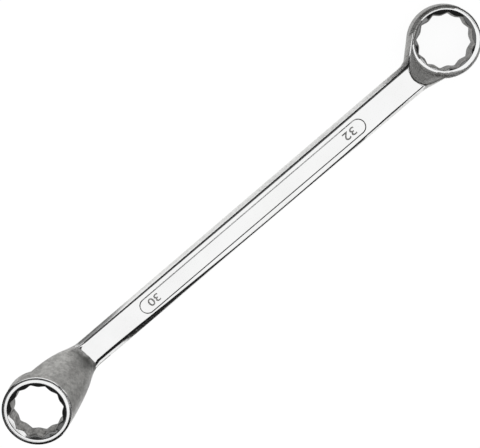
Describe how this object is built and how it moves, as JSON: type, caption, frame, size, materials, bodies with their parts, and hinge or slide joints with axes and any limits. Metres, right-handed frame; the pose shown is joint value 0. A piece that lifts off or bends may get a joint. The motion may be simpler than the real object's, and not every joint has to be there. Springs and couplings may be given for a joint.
{
  "type": "ring spanner",
  "caption": "Double-ended ring spanner with deeply offset twelve-point heads facing opposite ways, necks flared from a flat bar with a long sunken panel.",
  "frame": {"origin": "middle of the bounding box, which is the middle of the shank's thickness, halfway along the overall length", "axes": "+X along the shank from the 30 mm ring to the 32 mm ring, +Y across the shank, +Z along both ring axes, towards the side that the 30 mm ring stands on"},
  "size_m": [0.3922, 0.0476, 0.089],
  "materials": {
    "shank_polish": "bright polished chrome plate with fine lengthwise polishing lines",
    "neck_satin": "satin chrome over the blasted forging skin",
    "ring_polish": "polished chrome on the faces, duller in the broached bore"
  },
  "bodies": {
    "root": {"ring_30": "ring_polish", "neck_30": "neck_satin", "shank": "shank_polish", "neck_32": "neck_satin", "ring_32": "ring_polish"}
  },
  "joints": []
}
